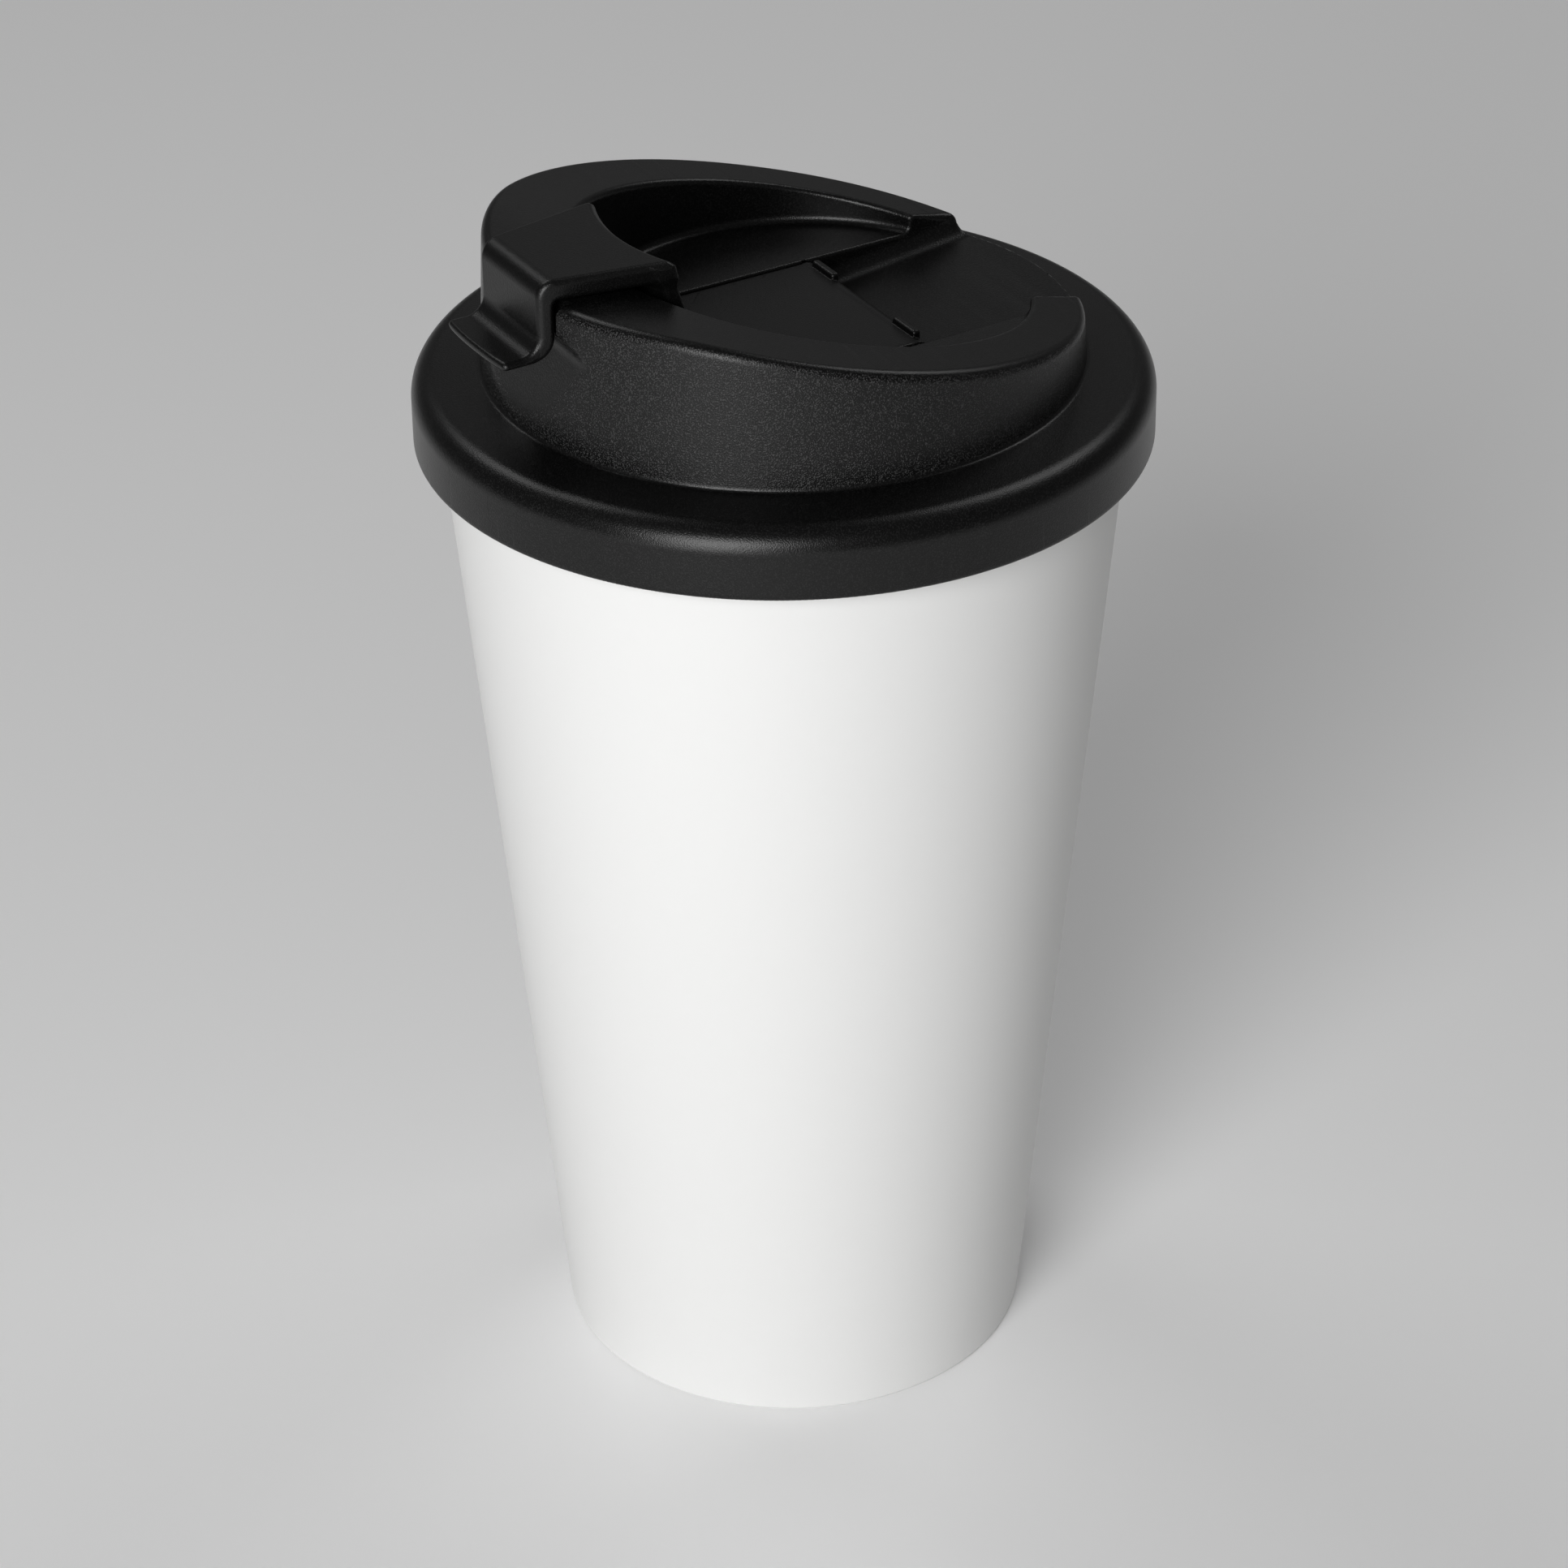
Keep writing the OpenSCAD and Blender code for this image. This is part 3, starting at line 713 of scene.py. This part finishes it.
def channel_field(x, y, z):
    """Well under the flap and the ramp out of the rim's open end."""
    side = np.abs(x) - WELL_W
    well = both(side, WELL_Z - z, WELL_ROUND)
    well = np.maximum(both(well, recess_wall(x, y, RECESS_R), WELL_END_ROUND), y - RAMP_Y)
    rise = (WELL_Z + RAMP_STEP - z) * math.cos(RAMP_RISE) + (y - RAMP_Y) * math.sin(RAMP_RISE)
    slide = np.maximum(both(side, rise, RAMP_ROUND), RAMP_Y - y)
    return np.minimum(well, slide)


print("recess is", round(RIM_Z - DECK_Z, 2), "mm deep")

# %% [markdown]
# ## The finger scoop and the slot
# The clip's leg drops through a slot in the rim's wall and ends in a thumb tab, and a hollow
# under the tab makes room for a fingertip. The leg swings about the hinge, so the slot's back
# wall gives way along an arc round the hinge, with a small gap to the leg's own path.

# %% Leg, hinge and tab sizes
BARREL_R = 1.3
FLAP_SUNK = 0.1
HINGE_Y = 10.9
HINGE_Z = DECK_Z - FLAP_SUNK - BARREL_R
LEG_PROUD = 0.9
LEG_Y = RIM_R - RIM_H * math.tan(RIM_DRAFT) + LEG_PROUD
LEG_T = 2.05
LEG_IN = LEG_Y - LEG_T
LEG_GAP = 0.3
LEG_W = 7.1
BRIDGE_H = 3
BRIDGE_Z = RIM_Z + BRIDGE_H
BRIDGE_SPREAD = 0.184
BRIDGE_REACH = 40
SPREAD_COS = 0.985
TAB_DROP = 8.9
TAB_Z = BRIDGE_Z - TAB_DROP
TAB_T = 1.1
UNDER_R = 3.0


def bridge_plan(x, y):
    """Distance beyond the bridge's sides, which spread from the leg to the inner wall. About
    the cosine of that spread makes it a true distance."""
    spread = BRIDGE_SPREAD * np.clip(y + LEG_Y, 0, BRIDGE_REACH)
    return (np.abs(x) - LEG_W - spread) * SPREAD_COS


print("hinge at", HINGE_Y, round(HINGE_Z, 2), "and leg at", round(-LEG_Y, 2))

# %% Scoop and slot
SCOOP_D = 2.8
SCOOP_R = 2.9
SCOOP_DROP = 5.9
SCOOP_Z = RIM_Z - SCOOP_DROP
SCOOP_TOE = 1
SCOOP_FOOT = 0.5
SLOT_ROUND = 0.3


def scoop_field(x, y, z):
    """Finger scoop under the thumb tab, and the slot for the clip's leg."""
    lean = math.atan(SCOOP_D / (SCOOP_Z - SHOULDER_Z - SCOOP_TOE))
    u = y + RIM_R - SCOOP_D + SCOOP_R
    hollow = swept_corner(u, z - SCOOP_Z, SCOOP_R, -lean, math.pi / 2)
    hollow = np.maximum(hollow, SHOULDER_Z + SCOOP_FOOT - z)
    path = math.hypot(LEG_IN + HINGE_Y, TAB_Z - TAB_T + UNDER_R - HINGE_Z) - LEG_GAP
    back = np.minimum(y + LEG_IN - LEG_GAP, path - np.hypot(y - HINGE_Y, z - HINGE_Z))
    slot = both(bridge_plan(x, y) - LEG_GAP, back, SLOT_ROUND)
    slot = np.maximum(slot, SCOOP_Z - z)
    return np.minimum(hollow, np.maximum(slot, y))


print("scoop's top is", round(RIM_Z - SCOOP_Z, 2), "mm under the rim's")

# %% [markdown]
# ## The lid's fittings
# Out of sight the lid has a plug ring that centres it in the cup's mouth, two blind sockets for
# the clip's pins, and an oval drinking hole in the well's floor. They show with the lid off or
# the clip folded back, so they are made too, in the same field as the rest.

# %% Lid fittings
PLUG_GAP = 0.5
PLUG_H = 3.6
PLUG_ROUND = 0.5
PLUG_ROOT = 0.5
PLUG_FILLET = 0.25
BOSS_X = 15.4
BOSS_HALF = 1.55
BOSS_R = 2.26
BOSS_SUNK = 0.9
BOSS_FILLET = 0.2
SOCKET_R = 1.06
SOCKET_END = 15.6
SOCKET_EDGE = 0.1
HOLE_Y = -13.0
HOLE_R = 3.5
HOLE_HALF = 2.5
HOLE_D = 3
HOLE_EDGE = 0.3


def lid_fittings(solid, x, y, z, rho):
    """Adds the plug ring, the hinge sockets and the drinking hole."""
    across = np.abs(x)
    plug_mid = MOUTH_R - PLUG_GAP - LID_T / 2
    plug = both(np.abs(rho - plug_mid) - LID_T / 2, SEAT_Z - PLUG_H - z, PLUG_ROUND)
    solid = either(solid, np.maximum(plug, z - SEAT_Z - PLUG_ROOT), PLUG_FILLET)
    round_hinge = np.hypot(y - HINGE_Y, z - HINGE_Z)
    boss = np.maximum(round_hinge - BOSS_R, z - DECK_Z + BOSS_SUNK)
    boss = np.maximum(boss, np.abs(across - BOSS_X) - BOSS_HALF)
    solid = either(solid, boss, BOSS_FILLET)
    socket = np.maximum(round_hinge - SOCKET_R, across - SOCKET_END)
    solid = both(solid, -socket, SOCKET_EDGE)
    hole = np.hypot(np.maximum(across - HOLE_HALF, 0), y - HOLE_Y) - HOLE_R
    hole = np.maximum(hole, np.abs(z - WELL_Z) - HOLE_D)
    return both(solid, -hole, HOLE_EDGE)


print("drinking hole is", 2 * (HOLE_HALF + HOLE_R), "by", 2 * HOLE_R, "mm")

# %% [markdown]
# ## The lid
# The lid is the skirt and the rim joined, less the recess, the channel and the scoop. A second
# cut hollows it from below by one wall thickness, as every moulding is. The rim's outer edge is
# rounder over the clip than at the open end, and the upright corners there are rounder still.

# %% Lid field
SKIRT_ROUND = 2.8
HEM_ROUND = 0.5
RIM_ROUND = 1.25
RIM_ROUND_LOSS = 0.5
RIM_LOSS_Y = (12, 28)
RIM_FILLET = 0.4
DECK_ROUND = 1.0
RECESS_EDGE = 0.7
CHANNEL_EDGE = 0.35
END_EDGE_GAIN = 0.5
END_X = (11.5, 13.4)
END_R = (30, 34)
END_Y = (0, 5)
SCOOP_EDGE = 0.22
SKIRT_INNER_ROUND = 1.0
SKIRT_INNER_EDGE = 0.3
HOLLOW_EDGE = 0.2


def lid_field(x, y, z):
    """Distance to the lid's surface."""
    rho = np.hypot(x, y)
    fall = (z - SHOULDER_Z) * math.cos(SHOULDER_FALL) + (rho - RIM_R) * math.sin(SHOULDER_FALL)
    skirt = both(both(rho - LID_R, fall, SKIRT_ROUND), HEM_Z - z, HEM_ROUND)
    wall = (rho - RIM_R + (z - SHOULDER_Z) * math.tan(RIM_DRAFT)) * math.cos(RIM_DRAFT)
    rim = both(wall, rim_top(y, z), RIM_ROUND - RIM_ROUND_LOSS * ease(y, *RIM_LOSS_Y))
    solid = either(skirt, rim, RIM_FILLET)
    recess = both(recess_wall(x, y, RECESS_R), DECK_Z - z, DECK_ROUND)
    channel = channel_field(x, y, z)
    scoop = scoop_field(x, y, z)
    outside = np.maximum(rim, -np.minimum(np.minimum(recess, channel), scoop))
    # Grows from 0 to 1 towards the upright corners where the ramp leaves the rim
    corner = ease(np.abs(x), *END_X) * ease(rho, *END_R) * ease(y, *END_Y)
    solid = both(solid, -recess, RECESS_EDGE)
    solid = both(solid, -channel, CHANNEL_EDGE + END_EDGE_GAIN * corner)
    solid = both(solid, -scoop, SCOOP_EDGE)
    under_skirt = both(rho - LID_R + LID_T, z - SEAT_Z, SKIRT_INNER_ROUND)
    solid = both(solid, -under_skirt, SKIRT_INNER_EDGE)
    hollow = np.maximum(outside + LID_T, SEAT_Z - z)
    solid = both(solid, -hollow, HOLLOW_EDGE)
    return lid_fittings(solid, x, y, z, rho)


wall_middle = np.array([[LID_R - LID_T / 2, 0, (HEM_Z + SEAT_Z) / 2]])
print("middle of the skirt's wall:", round(float(lid_field(*wall_middle.T)[0]), 2), "mm")

# %% Lid
LID_PITCH = 0.32
LID_KEEP = 0.3
LID_LOW = (-44.9, -44.9, 125.7)
LID_HIGH = (44.9, 44.9, 153.7)
lid = skin("lid_shell", lid_field, LID_LOW, LID_HIGH, LID_PITCH, LID_KEEP, lid_plastic)
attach(lid, "lid")
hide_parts("lid")

# %% [markdown]
# ## The lid's thread
# The skirt's inside has its own ridge, made like the neck's. On the real cup the two hook into
# each other. Here their crests just clear, because the posed lid slides straight up instead of
# turning.

# %% Lid thread
LID_CREST_R = 41.8
LID_RIDGE_UP = 1.7
lid_thread = ridge("lid_thread", wall=LID_R - LID_T, crest=LID_CREST_R,
                   start_z=HEM_Z + LID_RIDGE_UP, start_turn=0.6, turns=1.1, material=lid_plastic)
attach(lid_thread, "lid")
print("lid thread stands", round(LID_R - LID_T - LID_CREST_R, 2), "mm proud")

# %% [markdown]
# ## The clip
# The clip is one moulding: a flap with a hinge barrel and two pins, an inner wall that rises
# from the flap along the recess, a bridge over the rim, and a leg with the thumb tab. Seen from
# the side the bridge, leg and tab are one bent strip, so they are drawn as a side view first and
# then trimmed from above. Ribs on the flap stop the clip when it is folded back.

# %% Clip's side view
BRIDGE_T = 2.6
BRIDGE_ROUND = 2.2
BRIDGE_EDGE = 0.2
LEG_FILLET = 0.6
TAB_L = 5.1
TAB_END = LEG_Y + TAB_L
TAB_EDGE = TAB_T / 2 - 0.02
TAB_FILLET = 2.3


def clip_side(y, z):
    """Side view of the bridge, the leg and the thumb tab."""
    out = -y
    bridge = both(out - LEG_Y, np.abs(z - BRIDGE_Z + BRIDGE_T / 2) - BRIDGE_T / 2, BRIDGE_EDGE)
    back = both(LEG_IN - out, TAB_Z - TAB_T - z, UNDER_R)
    front = either(out - LEG_Y, z - TAB_Z, TAB_FILLET)
    leg = both(both(back, front, TAB_EDGE), out - TAB_END, TAB_EDGE)
    leg = np.maximum(leg, z - BRIDGE_Z)
    strip = either(leg, bridge, LEG_FILLET)
    u = out - LEG_Y + BRIDGE_ROUND
    v = z - BRIDGE_Z + BRIDGE_ROUND
    corner = np.where((u > 0) & (v > 0), np.hypot(u, v), np.maximum(u, v)) - BRIDGE_ROUND
    return np.where(z > TAB_Z + TAB_FILLET, np.maximum(strip, corner), strip)


print("thumb tab ends", round(LID_R - TAB_END, 2), "mm inside the lid's edge")

# %% Clip's bridge and inner wall
FLAP_Z = DECK_Z - FLAP_SUNK
FLAP_T = 2
FLAP_W = 12.95
INNER_T = 1.7
INNER_GAP = 0.5
INNER_LEAN = math.radians(11)
INNER_HALF = 9.7
INNER_FLARE = 0.0117
INNER_TOP = 1
BRIDGE_INNER_EDGE = 0.6
BRIDGE_SIDE_EDGE = 0.75
INNER_EDGE = 0.25
INNER_SIDE_EDGE = 0.3
INNER_END_EDGE = 0.5
ARCH_FILLET = 1.0


def clip_arch(x, y, z, cone):
    """Bridge and leg, with the inner wall whose outer face is the cone."""
    across = np.abs(x)
    inward = -cone - INNER_T
    bridge = both(clip_side(y, z), inward, BRIDGE_INNER_EDGE)
    bridge = both(bridge, bridge_plan(x, y), BRIDGE_SIDE_EDGE)
    bridge = both(bridge, np.hypot(x, y) - TAB_END, TAB_EDGE)
    flare = across - INNER_HALF - INNER_FLARE * (BRIDGE_Z - z) ** 2
    sides = both(flare, across - FLAP_W, INNER_SIDE_EDGE)
    inner = both(both(cone, inward, INNER_EDGE), sides, INNER_END_EDGE)
    below = np.maximum(FLAP_Z - FLAP_T - z, z - BRIDGE_Z + INNER_TOP)
    inner = np.maximum(inner, np.maximum(y, below))
    return either(bridge, inner, ARCH_FILLET)


print("inner wall leans", round(math.degrees(INNER_LEAN)), "degrees")

# %% Clip's flap, hinge and ribs
FLAP_EDGE = 0.3
FLAP_BEYOND = 1.25
FLAP_END_EDGE = 0.4
FLAP_FILLET = 0.8
BARREL_FILLET = 0.2
PIN_R = 1.0
PIN_END = 15.3
RIB_X = 9.25
RIB_Y = 0.5
RIB_HALF_L = 2.45
RIB_HALF_W = 0.55
RIB_H = 0.8
RIB_ROOT = 0.3
RIB_EDGE = 0.4
RIB_TOP_EDGE = 0.45
RIB_FILLET = 0.15


def clip_field(x, y, z):
    """Distance to the clip's surface."""
    across = np.abs(x)
    top_r = RECESS_R - INNER_GAP - (BRIDGE_Z - z) * math.tan(INNER_LEAN)
    cone = recess_wall(x, y, top_r) * math.cos(INNER_LEAN)
    solid = clip_arch(x, y, z, cone)
    round_hinge = np.hypot(y - HINGE_Y, z - HINGE_Z)
    flap = both(np.abs(z - FLAP_Z + FLAP_T / 2) - FLAP_T / 2, across - FLAP_W, FLAP_EDGE)
    flap = both(both(flap, y - HINGE_Y - FLAP_BEYOND, FLAP_END_EDGE), cone, FLAP_EDGE)
    flap = np.maximum(flap, both(y - HINGE_Y, HINGE_Z - z, 0.0))
    solid = either(solid, flap, FLAP_FILLET)
    barrel = np.maximum(round_hinge - BARREL_R, across - FLAP_W)
    pin = np.maximum(round_hinge - PIN_R, across - PIN_END)
    solid = np.minimum(either(solid, barrel, BARREL_FILLET), pin)
    rib = both(np.abs(across - RIB_X) - RIB_HALF_L,
               np.abs(y - HINGE_Y - RIB_Y) - RIB_HALF_W, RIB_EDGE)
    rib = both(rib, z - FLAP_Z - RIB_H, RIB_TOP_EDGE)
    rib = np.maximum(rib, FLAP_Z - RIB_ROOT - z)
    return either(solid, rib, RIB_FILLET)


print("pins turn in the sockets with", round(SOCKET_R - PIN_R, 2), "mm of play")

# %% Clip
CLIP_PITCH = 0.2
CLIP_KEEP = 0.4
CLIP_LOW = (-15.8, -41.6, 136.2)
CLIP_HIGH = (15.8, 12.8, 156.6)
clip = skin("clip_body", clip_field, CLIP_LOW, CLIP_HIGH, CLIP_PITCH, CLIP_KEEP, clip_plastic)
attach(clip, "clip")
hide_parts("flip_clip")

# %% [markdown]
# ## Dressing the seals
# The lid's flat seal and the soft plug under the flap are simple shapes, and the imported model
# already has them right. So they keep their mesh and only get their silicone.

# %% Seals keep their CAD shape
for node, material in (("lid_seal", clear_silicone), ("spout_seal", dark_silicone)):
    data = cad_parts[node].data
    data.materials.clear()
    data.materials.append(material)
    print(node, "is now", material.name)

# %% [markdown]
# ## Floor
# The cup stands on a pale sheet that is lit a little from below, as on a light table. Light
# from under the sheet keeps it pale where the lamps don't reach, and fills the cup's dark side.

# %% Floor
SHEET_WIDTH = 6000
SHEET_ROUGHNESS = 0.9
SHEET_GLOW = 0.05
floor_mesh = bpy.data.meshes.new("floor")
half = SHEET_WIDTH * MM / 2
floor_mesh.from_pydata(
    [(-half, -half, 0), (half, -half, 0), (half, half, 0), (-half, half, 0)], [], [(0, 1, 2, 3)])
floor = bpy.data.objects.new("floor", floor_mesh)
bpy.context.collection.objects.link(floor)
sheet, _, sheet_shader = new_material("opal_acrylic_sheet")
sheet_shader.inputs["Base Color"].default_value = linear("#F4F4F4")
sheet_shader.inputs["Roughness"].default_value = SHEET_ROUGHNESS
sheet_shader.inputs["Emission Color"].default_value = (1, 1, 1, 1)
sheet_shader.inputs["Emission Strength"].default_value = SHEET_GLOW
floor_mesh.materials.append(sheet)
print("floor", SHEET_WIDTH, "mm wide, glow", SHEET_GLOW)

# %% [markdown]
# ## Light
# In the photograph the brightest line down the white wall lies left of its middle, the right
# side falls away slowly, and the lid has one long highlight on its shoulder. One tall soft light,
# low and to the left of the camera, does all of that. It is built from two round softboxes
# whose edges overlap. Three weaker ones behind the cup, and the pale room, keep its back
# readable. Lamps are placed in metres, as in a studio, and their strength is in watts.

# %% Light
LAMP_DISTANCE = 1.1
LAMP_AIM = 0.1
LAMP_LIFT = 0.12
ROOM = 0.08


def lamp(name, azimuth, elevation, watts, size):
    """Round softbox aimed at the cup. Azimuth 0 is behind the camera, left of it is below 0."""
    data = bpy.data.lights.new(name, "AREA")
    data.shape = "DISK"
    data.size = size
    data.energy = watts
    lamp_object = bpy.data.objects.new(name, data)
    turn = math.radians(CAMERA_AZIMUTH + azimuth)
    lift = math.radians(elevation)
    level = LAMP_DISTANCE * math.cos(lift)
    up = LAMP_LIFT + LAMP_DISTANCE * math.sin(lift)
    lamp_object.location = (level * math.sin(turn), -level * math.cos(turn), up)
    aim = Vector((0, 0, LAMP_AIM)) - lamp_object.location
    lamp_object.rotation_euler = aim.to_track_quat("-Z", "Y").to_euler()
    bpy.context.collection.objects.link(lamp_object)
    return lamp_object


lamps = [
    lamp("key_softbox", azimuth=-20, elevation=25, watts=7.2, size=0.6),
    lamp("low_softbox", azimuth=-22, elevation=2, watts=3.2, size=0.5),
    lamp("back_left_softbox", azimuth=-135, elevation=50, watts=1.5, size=0.5),
    lamp("back_right_softbox", azimuth=135, elevation=50, watts=1.5, size=0.5),
    lamp("back_softbox", azimuth=180, elevation=25, watts=0.08, size=0.5)]
world = bpy.data.worlds.new("studio")
world.use_nodes = True
background = world.node_tree.nodes["Background"]
background.inputs["Color"].default_value = (1, 1, 1, 1)
background.inputs["Strength"].default_value = ROOM
bpy.context.scene.world = world
bpy.context.scene.view_settings.view_transform = "Standard"
print("lamps:", [(lamp_object.name, round(lamp_object.data.energy, 2)) for lamp_object in lamps])
